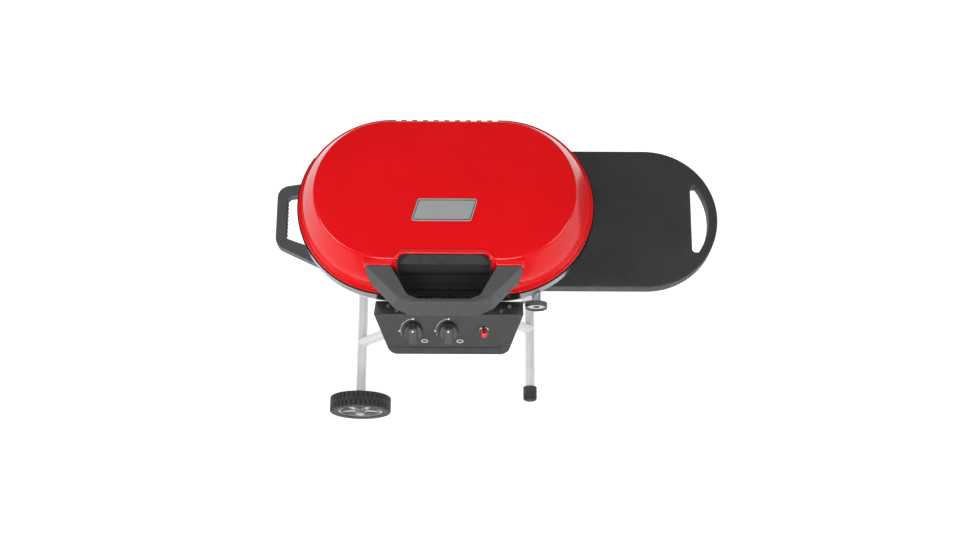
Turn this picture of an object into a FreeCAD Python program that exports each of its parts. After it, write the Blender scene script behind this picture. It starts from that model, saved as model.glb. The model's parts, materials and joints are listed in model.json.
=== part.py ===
"""A stand-up gas grill: a round-ended cooking box with a hinged lid, on folding crossed legs.

Lengths are in millimetres. X runs along the grill's width, Y points to its back and Z points up.
The model is laid out about the middle of the cooking box, with the floor at height zero.
Every piece is then shifted so that the origin is the middle of the floor rectangle that the whole
grill covers.
"""
import FreeCAD, Part
import math
import os
from FreeCAD import Vector

# ---- driving dimensions ----
RIM = 810.0             # height of the joint between lid and cooking box
END_R = 200.0           # radius of the lid's round ends at its flange
HALF_RUN = 117.5        # half the straight length between the round ends
SHEET = 1.4             # thickness of the pressed lid sheet

SHELL_R = 191.0         # outer shell radius at its top edge
SHELL_TOP = RIM - 20
SHELL_FLOOR = RIM - 108
SKIRT_R = 203.0         # black skirt round the front and sides, just outside the lid
SKIRT_FOOT = RIM - 32

BURNER_Z = 755.0
HINGE_Y = 197.0         # lid hinge axis, tucked under the flange
HINGE_Z = RIM - 11
HINGE_PIN_R = 2.5
HINGE_BARREL_R = 4.6
HINGE_X = 130.0

RECESS_HALF = 96.0     # half width of the finger recess in the lid's front
RECESS_SKIN = 2.5
RECESS_BACK = -141.0
RECESS_CORNER = 28.0
HANDLE_END_Y = -163.0    # where the handle's arms meet the pads on the lid

CONSOLE_TOP_Y = -230.0  # top edge of the sloping control panel
CONSOLE_TOP_Z = RIM - 45
PANEL_RISE = 65.0
PANEL_REACH = 70.0
PANEL_T = 2.5
KNOB_DROP = 39.0        # distance of the knob centres below the panel's top edge
CONSOLE_X = 8.0         # the console sits a little right of the middle
KNOB_X = (-76.0, 0.0)   # from the console's middle
IGNITER_X = 76.0

TABLE_Y = 15.5
TABLE_R = 161.0
TABLE_END_X = 602.0
TABLE_LEFT_X = 60.0
TABLE_TOP = RIM - 112
TABLE_T = 35.0

TRAY_Z = 655.0          # underside of the chassis tray
TRAY_T = 2.0
PIVOT_X = 190.0         # leg pivot under the right side
PIVOT_Z = 634.0
AXLE_X = -230.0         # floor tube that carries the wheels
FOOT_X = 202.0          # floor tube that carries the rubber feet
FOOT_Z = 17.0
LEG_R = 12.7
LEG_WALL = 1.5
OUTER_LEG_Y = 97.0
INNER_LEG_Y = 42.0
FLOOR_BAR_HALF = 225.0

WHEEL_R = 77.0
WHEEL_W = 38.0
WHEEL_Y = 261.0
AXLE_R = 4.0
FIT = 0.05              # radial clearance of a running fit

PANEL_TILT = math.degrees(math.atan2(PANEL_RISE, PANEL_REACH))
PANEL_LENGTH = math.hypot(PANEL_RISE, PANEL_REACH)
AXLE_Z = WHEEL_R

# The crossed legs have equal upper arms, so the inner pair's top bar travels level as they fold.
LEG_SLOPE = (PIVOT_X - AXLE_X) / (PIVOT_Z - AXLE_Z)
TOP_BAR_X = FOOT_X - LEG_SLOPE * (PIVOT_Z - FOOT_Z)
CROSS_X = (PIVOT_X + TOP_BAR_X) / 2
CROSS_Z = PIVOT_Z - (PIVOT_X - CROSS_X) / LEG_SLOPE

BURNER_FEED_X = (-68.0, 45.0)
FEED_Y = -203.0         # open end of each burner's feed tube
AXIS_X = Vector(1, 0, 0)
AXIS_Y = Vector(0, 1, 0)
AXIS_Z = Vector(0, 0, 1)
pieces = {}


# ---- helpers ----
def box(x0, x1, y0, y1, z0, z1):
    """A block between two corners."""
    return Part.makeBox(x1 - x0, y1 - y0, z1 - z0, Vector(x0, y0, z0))


def rod(start, end, radius):
    """A round bar between two points."""
    line = Vector(*end) - Vector(*start)
    return Part.makeCylinder(radius, line.Length, Vector(*start), line)


def tube(start, end, radius, wall):
    """A round tube between two points."""
    return rod(start, end, radius).cut(rod(start, end, radius - wall))


def join(shapes):
    """One solid from shapes that overlap or touch."""
    whole = shapes[0]
    for shape in shapes[1:]:
        whole = whole.fuse(shape)
    return whole.removeSplitter()


def cut_all(shape, tools):
    """The shape without any of the tools."""
    for tool in tools:
        shape = shape.cut(tool)
    return shape


def mirror_y(shape):
    return shape.mirror(Vector(0, 0, 0), AXIS_Y)


def plate(points, direction):
    """A polygon's face pushed along a direction."""
    outline = Part.makePolygon([Vector(*p) for p in points] + [Vector(*points[0])])
    return Part.Face(outline).extrude(Vector(*direction))


def plate_yz(points, x0, x1):
    return plate([(x0, y, z) for y, z in points], (x1 - x0, 0, 0))


def plate_xz(points, y0, y1):
    return plate([(x, y0, z) for x, z in points], (0, y1 - y0, 0))


def plate_xy(points, z0, z1):
    return plate([(x, y, z0) for x, y in points], (0, 0, z1 - z0))


def round_ended(profile, half_run=HALF_RUN):
    """A solid with two round ends: the profile lists radius and height, and closes on the axis."""
    ends = []
    for side in (-1, 1):
        points = [(side * (half_run + r), 0, z) for r, z in profile]
        outline = Part.makePolygon([Vector(*p) for p in points] + [Vector(*points[0])])
        ends.append(Part.Face(outline).revolve(Vector(side * half_run, 0, 0), AXIS_Z, 360))
    across = [(r, z) for r, z in profile] + [(-r, z) for r, z in reversed(profile) if r > 0]
    middle = plate_yz(across, -half_run, half_run)
    return join([middle] + ends)


def add(name, *shapes):
    """Stores a named piece, made of one or more separate solids."""
    pieces[name] = shapes[0] if len(shapes) == 1 else Part.makeCompound(list(shapes))


def on_panel(shape):
    """Moves a shape from the panel's own frame, where Z is the panel's outward normal."""
    placed = shape.copy()
    placed.rotate(Vector(0, 0, 0), AXIS_X, PANEL_TILT)
    placed.translate(Vector(CONSOLE_X, CONSOLE_TOP_Y, CONSOLE_TOP_Z))
    return placed


# ---- lid ----
def lid_outline():
    """Radius and height of the lid's outer surface, from the flange in to the crown."""
    steps = [(0, 0), (0, 3), (6, 5), (8, 14), (12, 18), (13, 34), (17, 46), (27, 68), (36, 83), (44, 89)]
    crown = [(70, 92.5), (120, 95.2), (END_R, 96)]
    return [(END_R - inset, RIM + z) for inset, z in steps + crown]


def lid_solid():
    return round_ended([(0, RIM)] + lid_outline())


def lid_hollow():
    """The space under the sheet. The flange stays solid outside it."""
    flange_inset = 8
    inner = [(r - SHEET, z - SHEET) for r, z in lid_outline() if r <= END_R - flange_inset and r > 0]
    wall = inner[0][0]
    return round_ended([(0, RIM - 5), (wall, RIM - 5)] + inner + [(0, RIM + 96 - SHEET)])


def recess_prism(skin):
    """The finger recess, grown by a skin thickness. It runs out through the flange at the front."""
    slope = [(RECESS_BACK + skin, RIM + 120), (RECESS_BACK + skin, RIM + 84 - skin),
             (-158 + skin, RIM + 70 - skin)]
    if skin:
        floor = [(-158.5, RIM + 9.5), (-172, RIM + 7.5), (-174, RIM - 2), (-230, RIM - 2)]
    else:
        floor = [(-161, RIM + 12), (-178, RIM + 10), (-179, RIM + 6), (-182, RIM + 5), (-183, RIM + 2.5),
                 (-191, RIM + 2.5), (-191, RIM - 2), (-230, RIM - 2)]
    half = RECESS_HALF + skin
    back = RECESS_BACK + skin
    pocket = plate_yz(slope + floor + [(-230, RIM + 120)], -half, half)
    plan = box(-half, half, -240, back, RIM - 5, RIM + 120)
    rear = [e for e in plan.Edges if e.BoundBox.ZLength > 100 and e.BoundBox.YMin > back - 1]
    return pocket.common(plan.makeFillet(RECESS_CORNER + skin, rear))


def handle_bar():
    """A U-shaped bar in front of the lid: wide at its foot, with arms that rise to meet the lid."""
    top_z = RIM + 84
    foot = [(171, HANDLE_END_Y), (168, -174), (103, -243), (72, -257)]
    top = [(160.5, HANDLE_END_Y), (159.6, -165.4), (90, -218.6), (62.2, -226)]
    inner_foot = [(54, -231), (78, -222), (94, -193), (112, HANDLE_END_Y)]
    inner_top = [(52.4, -227.7), (74.7, -220.4), (91, -195.4), (110.4, HANDLE_END_Y)]

    def ring(outer, inner, z):
        outer_left = [(-x, y) for x, y in reversed(outer)]
        inner_left = [(-x, y) for x, y in reversed(inner)]
        loop = outer + outer_left + inner_left + inner
        return Part.makePolygon([Vector(x, y, z) for x, y in loop] + [Vector(*loop[0], z)])

    bar = Part.makeLoft([ring(foot, inner_foot, RIM + 27), ring(top, inner_top, top_z)], True, True)
    above = [(-300, RIM + 62), (-222, RIM + 62), (-170, RIM + 78), (-150, RIM + 80.5),
             (-150, RIM + 130), (-300, RIM + 130)]
    return bar.cut(plate_yz(above, -200, 200))


def make_lid():
    whole = lid_solid()
    shell = whole.cut(lid_hollow()).cut(recess_prism(RECESS_SKIN))
    notch_pitch = 23.5
    notch_half = 6.0
    for i in range(10):
        x = (i - 4.5) * notch_pitch
        floor = END_R - 7 + notch_half
        slot = rod((x, floor, RIM - 1), (x, floor, RIM + 6), notch_half)
        slot = slot.fuse(box(x - notch_half, x + notch_half, floor, END_R + 1, RIM - 1, RIM + 6))
        shell = shell.cut(slot)
    pads = []
    for side in (-1, 1):
        block = plate_yz([(-120, RIM + 22), (-120, RIM + 85.5), (-155, RIM + 85), (HANDLE_END_Y, RIM + 80),
                          (HANDLE_END_Y, RIM + 27), (-186, RIM + 22)], side * 138 - 30, side * 138 + 30)
        pads.append(block.cut(whole))
    shell = join([shell] + pads)
    insert = recess_prism(RECESS_SKIN).common(whole).cut(recess_prism(0))
    handle = cut_all(handle_bar(), [whole] + pads)
    add("lid_shell", shell)
    add("lid_recess_insert", insert)
    add("lid_handle", handle)

    badge_back = -21
    badge_front = -71
    badge = [(-56, badge_back), (70, badge_back), (56, badge_front), (-70, badge_front)]
    badge_plate = plate_xy(badge, RIM + 88, RIM + 97.4).cut(whole)
    add("lid_badge", badge_plate)

    leaves = []
    for x in (-HINGE_X, HINGE_X):
        barrel = rod((x - 12, HINGE_Y, HINGE_Z), (x + 12, HINGE_Y, HINGE_Z), HINGE_BARREL_R)
        arm = box(x - 12, x + 12, HINGE_Y - 1.5, HINGE_Y + 1.5, HINGE_Z, RIM)
        leaf = join([barrel, arm])
        leaves.append(leaf.cut(rod((x - 20, HINGE_Y, HINGE_Z), (x + 20, HINGE_Y, HINGE_Z), HINGE_PIN_R + FIT)))
    add("lid_hinge_leaves", *leaves)
    screws = []
    for side in (-1, 1):
        screws.append(rod((side * 113, -205, RIM + 24.5), (side * 113, -205, RIM + 27), 5))
    add("lid_handle_screws", *screws)


# ---- cooking box ----
def make_cooking_box():
    outer_line = [(0, 733), (165, 733), (176, 742), (181, 790), (191, 790), (191, 806), (SKIRT_R, 806),
                  (SKIRT_R, 809), (0, 809)]
    inner_line = [(0, 734.5), (164.4, 734.5), (174.5, 742.7), (179.6, 791.5), (189.5, 791.5),
                  (189.5, 810), (0, 810)]
    skirt = round_ended([(0, SKIRT_FOOT), (SKIRT_R, SKIRT_FOOT), (SKIRT_R, 807), (0, 807)])
    skirt = skirt.cut(round_ended([(0, SKIRT_FOOT - 1), (SKIRT_R - 1.5, SKIRT_FOOT - 1),
                                   (SKIRT_R - 1.5, 808), (0, 808)]))
    basin = join([round_ended(outer_line), skirt]).cut(round_ended(inner_line))
    bare_back = round_ended([(0, SKIRT_FOOT - 1), (SKIRT_R + 5, SKIRT_FOOT - 1), (SKIRT_R + 5, 811), (0, 811)])
    bare_back = bare_back.cut(round_ended([(0, SKIRT_FOOT - 2), (194, SKIRT_FOOT - 2), (194, 812), (0, 812)]))
    basin = basin.cut(bare_back.common(box(-400, 400, 110, 300, 700, 900)))
    shell_outer = round_ended([(0, SHELL_FLOOR), (172, SHELL_FLOOR), (182, SHELL_FLOOR + 6), (188, 722),
                               (SHELL_R, SHELL_TOP), (0, SHELL_TOP)])
    shell_inner = round_ended([(0, SHELL_FLOOR + 1.2), (171.6, SHELL_FLOOR + 1.2), (181, SHELL_FLOOR + 7),
                               (186.8, 722.3), (SHELL_R - 1.2, SHELL_TOP), (0, SHELL_TOP)])
    shell = shell_outer.cut(shell_inner)
    port = []
    for x, burner_x in zip(KNOB_X, BURNER_FEED_X):
        port.append(rod((x + CONSOLE_X, FEED_Y, BURNER_Z), (burner_x, -118, BURNER_Z), 8))
    basin = cut_all(basin, port)
    shell = cut_all(shell, port)
    add("burner_basin", basin)
    add("base_shell", shell)

    pan_outer = round_ended([(0, 735), (102, 735), (108, 746), (0, 746)], 90)
    pan_inner = round_ended([(0, 736.5), (101, 736.5), (106.5, 746), (0, 746)], 90)
    add("water_pan", pan_outer.cut(pan_inner))

    for name, centre, x, feed_x in (("burner_left", -105, KNOB_X[0] + CONSOLE_X, BURNER_FEED_X[0]),
                                    ("burner_right", 105, KNOB_X[1] + CONSOLE_X, BURNER_FEED_X[1])):
        corners = [(centre - 75, -118), (centre + 75, -118), (centre + 75, 118), (centre - 75, 118)]
        runs = [rod((x, FEED_Y, BURNER_Z), (feed_x, -118, BURNER_Z), 7)]
        bores = [rod((x, FEED_Y, BURNER_Z), (feed_x, -118, BURNER_Z), 5.8)]
        for i, (cx, cy) in enumerate(corners):
            nx, ny = corners[(i + 1) % 4]
            runs.append(rod((cx, cy, BURNER_Z), (nx, ny, BURNER_Z), 8))
            runs.append(Part.makeSphere(8, Vector(cx, cy, BURNER_Z)))
            bores.append(rod((cx, cy, BURNER_Z), (nx, ny, BURNER_Z), 6.8))
        add(name, cut_all(join(runs), bores))

    ring = round_ended([(0, 792), (182, 792), (182, 800), (0, 800)])
    ring = ring.cut(round_ended([(0, 791), (175, 791), (175, 801), (0, 801)]))
    area = round_ended([(0, 792), (178, 792), (178, 800), (0, 800)])
    bar_pitch = 17.0
    for name, side in (("grate_left", -1), ("grate_right", 1)):
        half = box(min(side * 2, side * 330), max(side * 2, side * 330), -200, 200, 780, 820)
        bars = [box(min(side * 2, side * 9), max(side * 2, side * 9), -180, 180, 793, 799).common(area)]
        for i in range(1, 17):
            x = side * (5 + i * bar_pitch)
            bars.append(box(x - 2.5, x + 2.5, -180, 180, 793, 800).common(area))
        bars.append(box(min(side * 4, side * 290), max(side * 4, side * 290), -4, 4, 793, 798).common(area))
        add(name, join([ring.common(half)] + bars))
    tips = []
    for x in (-105, 105):
        tips.append(rod((x, -104, 746), (x, -104, BURNER_Z + 6), 3))
    add("igniter_electrodes", *tips)
    return shell_outer


# ---- lid hinge on the box ----
def make_hinge():
    wall = round_ended([(0, 780), (191, 780), (191, 806), (0, 806)])
    brackets = []
    pins = []
    for x in (-HINGE_X, HINGE_X):
        for end in (-1, 1):
            x0 = x + end * 12.4
            x1 = x + end * 15.4
            ear = box(min(x0, x1), max(x0, x1), 184, HINGE_Y, HINGE_Z - 5, HINGE_Z + 2)
            ear = join([ear, rod((min(x0, x1), HINGE_Y, HINGE_Z), (max(x0, x1), HINGE_Y, HINGE_Z), 5)])
            ear = ear.cut(wall)
            brackets.append(ear.cut(rod((x - 30, HINGE_Y, HINGE_Z), (x + 30, HINGE_Y, HINGE_Z), HINGE_PIN_R)))
        pins.append(rod((x - 18, HINGE_Y, HINGE_Z), (x + 18, HINGE_Y, HINGE_Z), HINGE_PIN_R))
    add("hinge_brackets", *brackets)
    add("hinge_pins", *pins)


# ---- console ----
def console_outline(z0, z1, inset=0.0):
    """The panel's outline in its own frame: wide at the top, with large round lower corners."""
    top = 160.0 - inset
    side = Vector(133 - inset, -76, 0)
    bend = Vector(125 - inset, -90 + inset, 0)
    low = Vector(106 - inset, -PANEL_LENGTH + inset, 0)
    flip = lambda v: Vector(-v.x, v.y, 0)
    edges = [Part.LineSegment(Vector(-top, -inset, 0), Vector(top, -inset, 0)).toShape(),
             Part.LineSegment(Vector(top, -inset, 0), side).toShape(),
             Part.Arc(side, bend, low).toShape(),
             Part.LineSegment(low, flip(low)).toShape(),
             Part.Arc(flip(low), flip(bend), flip(side)).toShape(),
             Part.LineSegment(flip(side), Vector(-top, -inset, 0)).toShape()]
    face = Part.Face(Part.Wire(edges))
    face.translate(Vector(0, 0, z0))
    return face.extrude(Vector(0, 0, z1 - z0))


def make_console(shell_outer):
    low_y = CONSOLE_TOP_Y - PANEL_REACH
    low_z = CONSOLE_TOP_Z - PANEL_RISE
    side_view = [(-170, CONSOLE_TOP_Z), (CONSOLE_TOP_Y, CONSOLE_TOP_Z), (low_y, low_z),
                 (low_y + 8, low_z - 8), (-170, low_z - 8)]
    wall = 1.5
    inner_view = [(-170, CONSOLE_TOP_Z - wall), (CONSOLE_TOP_Y - 0.5, CONSOLE_TOP_Z - wall),
                  (low_y + 6, low_z + 1), (low_y + 12, low_z - 8 + wall), (-170, low_z - 8 + wall)]
    reach = 130
    outside = plate_yz(side_view, -190, 190).common(on_panel(console_outline(-reach, 5)))
    inside = plate_yz(inner_view, -190, 190).common(on_panel(console_outline(-reach - 5, 5, wall)))
    housing = outside.cut(inside).cut(shell_outer)
    keep_front = box(-200, 200, -400, -187.0, 600, 900)
    housing = housing.common(keep_front)
    groove_y = -78.0
    groove = box(-108, 108, groove_y - 1.7, groove_y + 1.7, PANEL_T - 1.6, PANEL_T + 1)
    for side in (-1, 1):
        turn = box(-1.7, 1.7, 0, 9, PANEL_T - 1.6, PANEL_T + 1)
        turn.rotate(Vector(0, 0, 0), AXIS_Z, -side * 50)
        turn.translate(Vector(side * 107.5, groove_y - 1.2, 0))
        groove = groove.fuse(turn)
    holes = [rod((x, -KNOB_DROP, -20), (x, -KNOB_DROP, 20), 6) for x in KNOB_X]
    holes.append(rod((IGNITER_X, -KNOB_DROP, -20), (IGNITER_X, -KNOB_DROP, 20), 8))
    panel = cut_all(console_outline(0, PANEL_T), [groove] + holes)
    add("console_face", on_panel(panel))
    housing = cut_all(housing, [on_panel(hole) for hole in holes])
    add("console_housing", housing)

    screws = []
    for x in (-130, -112, 112, 130):
        y = -214 if abs(x) > 120 else -224
        screws.append(rod((x + CONSOLE_X, y, CONSOLE_TOP_Z), (x + CONSOLE_X, y, CONSOLE_TOP_Z + 2), 4))
    add("console_screws", *screws)
    clips = []
    for x in (-60, 58):
        strap = box(x - 18, x + 18, -SKIRT_R - 1.6, -194, RIM - 1, RIM + 0.4)
        drop = box(x - 18, x + 18, -SKIRT_R - 1.6, -SKIRT_R, CONSOLE_TOP_Z, RIM + 0.4)
        clips.append(join([strap, drop]))
    add("console_clips", *clips)

    rings = []
    for x in KNOB_X:
        ring = rod((x, -KNOB_DROP, PANEL_T), (x, -KNOB_DROP, PANEL_T + 1.2), 22)
        rings.append(on_panel(ring.cut(rod((x, -KNOB_DROP, 0), (x, -KNOB_DROP, 9), 6))))
    add("dial_rings", *rings)
    valves = []
    for name, x in zip(("left", "right"), KNOB_X):
        at = -KNOB_DROP
        stem = rod((x, at, -16), (x, at, 16), 3)
        valve = rod((x, at, -46), (x, at, -3), 5.8).fuse(rod((x, at, -42), (x, at, -8), 11))
        valve = valve.cut(rod((x, at, -22), (x, at, 20), 3 + FIT))
        base = 6.6
        skirt = Part.makeCone(20, 18.5, 9, Vector(x, at, base), AXIS_Z)
        grip = box(x - 9, x + 9, at - 20, at + 17, base + 8, base + 24)
        grip = grip.common(rod((x, at, base), (x, at, base + 30), 20))
        grip = grip.makeFillet(2.5, [e for e in grip.Edges if e.BoundBox.ZMin > base + 20])
        knob = join([skirt, grip])
        flutes = []
        for i in range(12):
            a = math.radians(30 * i + 15)
            flutes.append(rod((x + 22 * math.cos(a), at + 22 * math.sin(a), base - 1),
                              (x + 22 * math.cos(a), at + 22 * math.sin(a), base + 8.5), 3))
        knob = cut_all(knob, flutes)
        knob = knob.cut(rod((x, at, base - 1), (x, at, 16), 3))
        add("knob_" + name, on_panel(knob))
        add("valve_stem_" + name, on_panel(stem))
        valves.append(on_panel(valve))
    add("gas_valves", *valves)
    bezel = rod((IGNITER_X, -KNOB_DROP, PANEL_T), (IGNITER_X, -KNOB_DROP, PANEL_T + 3), 11)
    bezel = bezel.makeFillet(1.2, [e for e in bezel.Edges if e.BoundBox.ZMin > PANEL_T + 2])
    sleeve = rod((IGNITER_X, -KNOB_DROP, -14), (IGNITER_X, -KNOB_DROP, PANEL_T), 8)
    bore = rod((IGNITER_X, -KNOB_DROP, -20), (IGNITER_X, -KNOB_DROP, 20), 6.9 + 0.3)
    add("igniter_bezel", on_panel(join([bezel, sleeve]).cut(bore)))
    button = rod((IGNITER_X, -KNOB_DROP, -8), (IGNITER_X, -KNOB_DROP, 26), 6.9)
    button = button.makeFillet(4, [e for e in button.Edges if e.BoundBox.ZMin > 20])
    add("igniter_button", on_panel(button))
    module = rod((IGNITER_X, -KNOB_DROP, -28), (IGNITER_X, -KNOB_DROP, -14), 12)
    add("igniter_module", on_panel(module))


# ---- gas supply ----
def make_gas(shell_outer):
    x, y, z = 197.0, -201.0, 715.0
    collar = rod((x, y, z), (x, y + 11, z), 24).cut(rod((x, y, z), (x, y + 11, z), 21))
    thread_r = 6.85
    inlet = rod((x, y + 3, z), (x, y + 6, z), 21).fuse(rod((x, y + 3, z), (x, -150, z), 10))
    inlet = inlet.cut(rod((x, y, z), (x, y + 23, z), thread_r)).cut(shell_outer)
    route = [(-82, -224, 704), (112, -224, 704), (150, -192, 712), (x, -186, z)]
    runs = [rod(start, end, 5) for start, end in zip(route, route[1:])]
    elbows = [Part.makeSphere(5, Vector(*point)) for point in route[1:3]]
    whole_pipe = join(runs + elbows)
    collar = collar.cut(whole_pipe)
    inlet = inlet.removeSplitter()
    pipe = whole_pipe.cut(inlet).cut(rod((x, y, z), (x, y + 23, z), thread_r))
    pipe = max(pipe.Solids, key=lambda solid: solid.Volume)
    add("inlet_collar", collar)
    add("gas_inlet", inlet)
    add("gas_manifold", pipe)
    for name in ("console_housing", "gas_valves"):
        pieces[name] = pieces[name].cut(whole_pipe)


# ---- chassis and table ----
def table_outline(shrink, z0, z1):
    """The table's plan: straight sides under the grill and one round end."""
    r = TABLE_R - shrink
    centre = TABLE_END_X - TABLE_R
    disc = rod((centre, TABLE_Y, z0), (centre, TABLE_Y, z1), r)
    return join([disc, box(TABLE_LEFT_X, centre, TABLE_Y - r, TABLE_Y + r, z0, z1)])


def hand_slot(grow, z0, z1):
    """A D-shaped slot near the table's round end."""
    centre = TABLE_END_X - TABLE_R
    disc = rod((centre, TABLE_Y, z0), (centre, TABLE_Y, z1), TABLE_R - 20 + grow)
    window = box(543 - grow, 640, TABLE_Y - 80 - grow, TABLE_Y + 80 + grow, z0, z1)
    corners = [e for e in window.Edges if e.BoundBox.ZLength > 5 and e.BoundBox.XMax < 600]
    window = window.makeFillet(8, corners)
    return disc.common(window)


def make_table():
    low = TABLE_TOP - TABLE_T
    slab = table_outline(0, low, TABLE_TOP)
    top_edges = [e for e in slab.Edges if e.BoundBox.ZMin > TABLE_TOP - 1 and e.BoundBox.XMax > TABLE_LEFT_X + 1]
    slab = slab.makeFillet(3, top_edges)
    pocket = table_outline(4, low - 1, TABLE_TOP - 4).fuse(
        box(TABLE_LEFT_X - 5, 200, TABLE_Y - TABLE_R + 4, TABLE_Y + TABLE_R - 4, low - 1, TABLE_TOP - 4))
    pocket = pocket.cut(hand_slot(4, low - 2, TABLE_TOP))
    table = slab.cut(pocket).cut(hand_slot(0, low - 1, TABLE_TOP + 1))
    rib_half = TABLE_R - 4
    for x in (260, 360, 460):
        table = table.fuse(box(x, x + 3, TABLE_Y - rib_half + 1, TABLE_Y + rib_half - 1, low + 20, TABLE_TOP - 3.9)
                           .common(table_outline(3, low, TABLE_TOP)))
    add("side_table", table.removeSplitter())
    runners = []
    rails = []
    for side in (-1, 1):
        y = TABLE_Y + side * 100
        web = box(80, 230, y + side * 12 - 1.5, y + side * 12 + 1.5, low + 3, TABLE_TOP - 4)
        tongue = box(80, 230, min(y - side * 1, y + side * 11), max(y - side * 1, y + side * 11), 667, 675)
        runners.append(join([web, tongue]))
        channel = box(-200, 205, y - 9, y + 9, TRAY_Z + TRAY_T, TRAY_Z + TRAY_T + 22)
        hollow = box(-201, 206, min(y - side * 6, y + side * 10), max(y - side * 6, y + side * 10), 665.5, 676.5)
        rails.append(channel.cut(hollow))
    add("table_runners", *runners)
    add("table_rails", *rails)


def make_chassis(shell_outer):
    tray = box(-290, 212, TABLE_Y - TABLE_R - 1, TABLE_Y + TABLE_R + 1, TRAY_Z, TRAY_Z + TRAY_T)
    plan = round_ended([(0, TRAY_Z), (172, TRAY_Z), (172, TRAY_Z + TRAY_T), (0, TRAY_Z + TRAY_T)])
    window = box(-170, 130, -70, 94, TRAY_Z - 1, TRAY_Z + TRAY_T + 1)
    add("chassis_tray", tray.common(plan).cut(window))
    front = TABLE_Y - TABLE_R - 1.5
    back = TABLE_Y + TABLE_R + 1.5
    uprights = []
    for x in (-120, 80):
        for y0, y1 in ((front - 3, front), (back, back + 3)):
            upright = box(x, x + 40, y0, y1, TRAY_Z, 722)
            foot = box(x, x + 40, min(y0, y1 - 18 if y0 > 0 else y0), max(y1, y0 + 18 if y0 < 0 else y1),
                       TRAY_Z - 2.5, TRAY_Z)
            uprights.append(join([upright, foot]).cut(shell_outer))
    add("chassis_uprights", *uprights)

    ears = []
    hooks = []
    for side in (-1, 1):
        y = side * 119.5
        ear = plate_xz([(166, TRAY_Z), (214, TRAY_Z), (204, PIVOT_Z - 14), (176, PIVOT_Z - 14)], y - 2, y + 2)
        ears.append(ear.cut(rod((PIVOT_X, -200, PIVOT_Z), (PIVOT_X, 200, PIVOT_Z), 8)))
        y = side * 68.5
        hook = box(-284, -236, y - 2, y + 2, PIVOT_Z - 20, TRAY_Z)
        slot = box(-290, TOP_BAR_X, y - 3, y + 3, PIVOT_Z - LEG_R - 1, PIVOT_Z + LEG_R + 1)
        slot = slot.fuse(rod((TOP_BAR_X, y - 3, PIVOT_Z), (TOP_BAR_X, y + 3, PIVOT_Z), LEG_R + 1))
        hooks.append(hook.cut(slot))
    add("leg_pivot_brackets", *ears)
    add("leg_hook_brackets", *hooks)
    add("leg_pivot_rod", rod((PIVOT_X, -126, PIVOT_Z), (PIVOT_X, 126, PIVOT_Z), 8))


def make_carry_handle(shell_outer):
    """A flat U-shaped loop on the left end."""
    z = TABLE_TOP + 2
    half = 13.0
    outer = plate_xy([(-245, 99.7), (-377, 79), (-377, -57), (-245, -120)], z - half, z + half)
    outer = outer.makeFillet(28, [e for e in outer.Edges if e.BoundBox.ZLength > 20 and e.BoundBox.XMax < -370])
    inner = plate_xy([(-230, 78.4), (-355, 57), (-355, -41), (-230, -86.2)], z - half - 1, z + half + 1)
    inner = inner.makeFillet(12, [e for e in inner.Edges if e.BoundBox.ZLength > 20 and e.BoundBox.XMax < -350])
    loop = outer.cut(inner).cut(shell_outer)
    ribs = []
    for i in range(9):
        y = 8 + (i - 4) * 9
        ribs.append(box(-356, -353, y - 2, y + 2, z - half + 2, z + half - 2))
    loop = join([loop] + ribs)
    add("carry_handle", *sorted(loop.Solids, key=lambda s: -s.Volume)[:1])


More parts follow.
